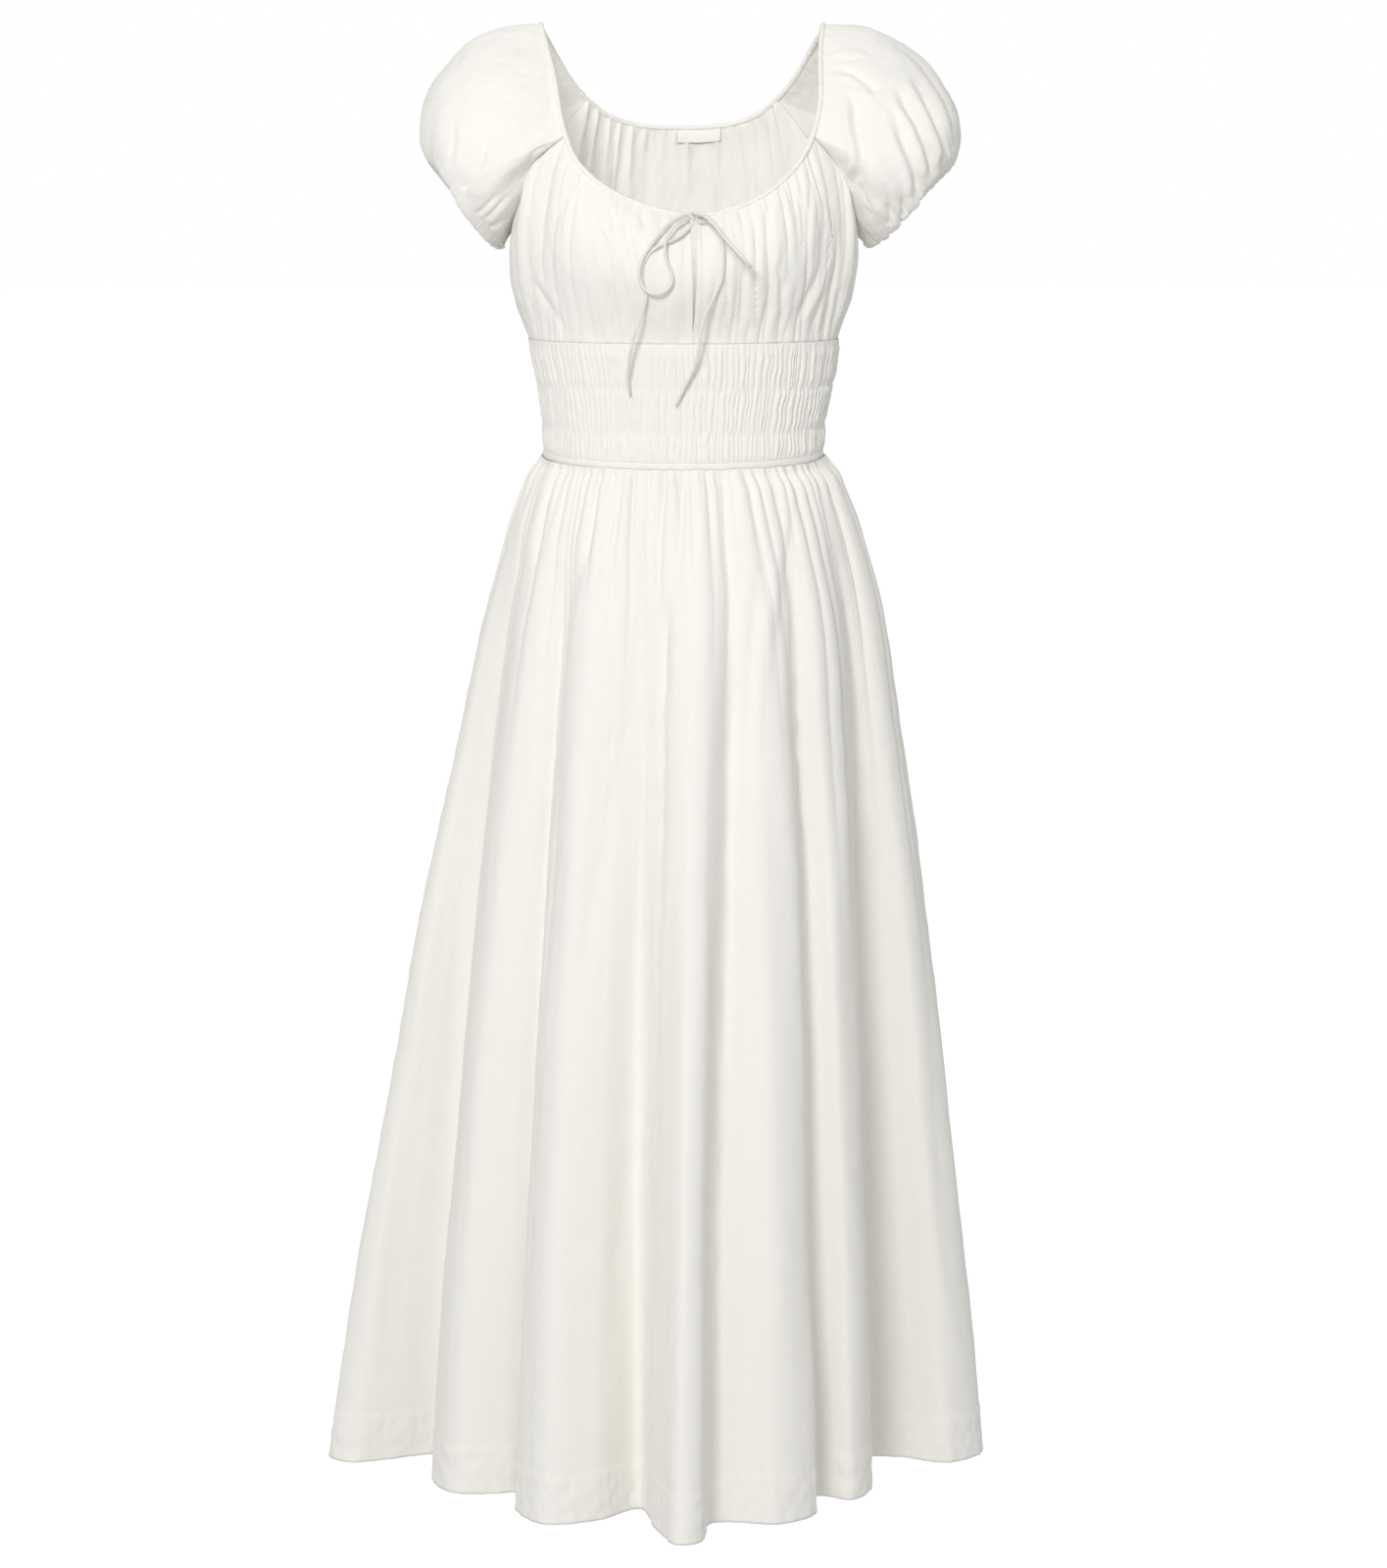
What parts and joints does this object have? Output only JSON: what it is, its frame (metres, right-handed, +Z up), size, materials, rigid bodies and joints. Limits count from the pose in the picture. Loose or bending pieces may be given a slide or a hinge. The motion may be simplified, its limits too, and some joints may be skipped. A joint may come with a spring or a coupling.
{
  "type": "smocked midi dress",
  "caption": "Worn-shape midi dress with short puff sleeves, a drawstring neck tied in a bow over a slit, a smocked waist and a full gathered skirt.",
  "frame": {"origin": "midway between the two shoulder points of the neckline, where the wearer's shoulders hold the dress", "axes": "+Z up, the front faces -Y, the wearer's left is +X"},
  "size_m": [0.5729, 0.4985, 1.2418],
  "materials": {
    "cotton_cloth": "matt, fine plain weave, lightly crinkled",
    "binding_cloth": "matt, folded bias strip",
    "label_cloth": "smooth woven tape, bare"
  },
  "bodies": {
    "root": {"skirt_front": "cotton_cloth", "skirt_back": "cotton_cloth", "smocked_waist_front": "cotton_cloth", "smocked_waist_back": "cotton_cloth", "waist_band": "binding_cloth", "bodice_back": "cotton_cloth", "bodice_front_right": "cotton_cloth", "bodice_front_left": "cotton_cloth", "sleeve_right": "cotton_cloth", "sleeve_left": "cotton_cloth", "cuff_binding_right": "binding_cloth", "cuff_binding_left": "binding_cloth", "neck_binding": "binding_cloth", "tie_knot": "binding_cloth", "tie_loop_right": "binding_cloth", "tie_loop_left": "binding_cloth", "tie_tail_right": "binding_cloth", "tie_tail_left": "binding_cloth", "neck_label": "label_cloth"}
  },
  "joints": []
}
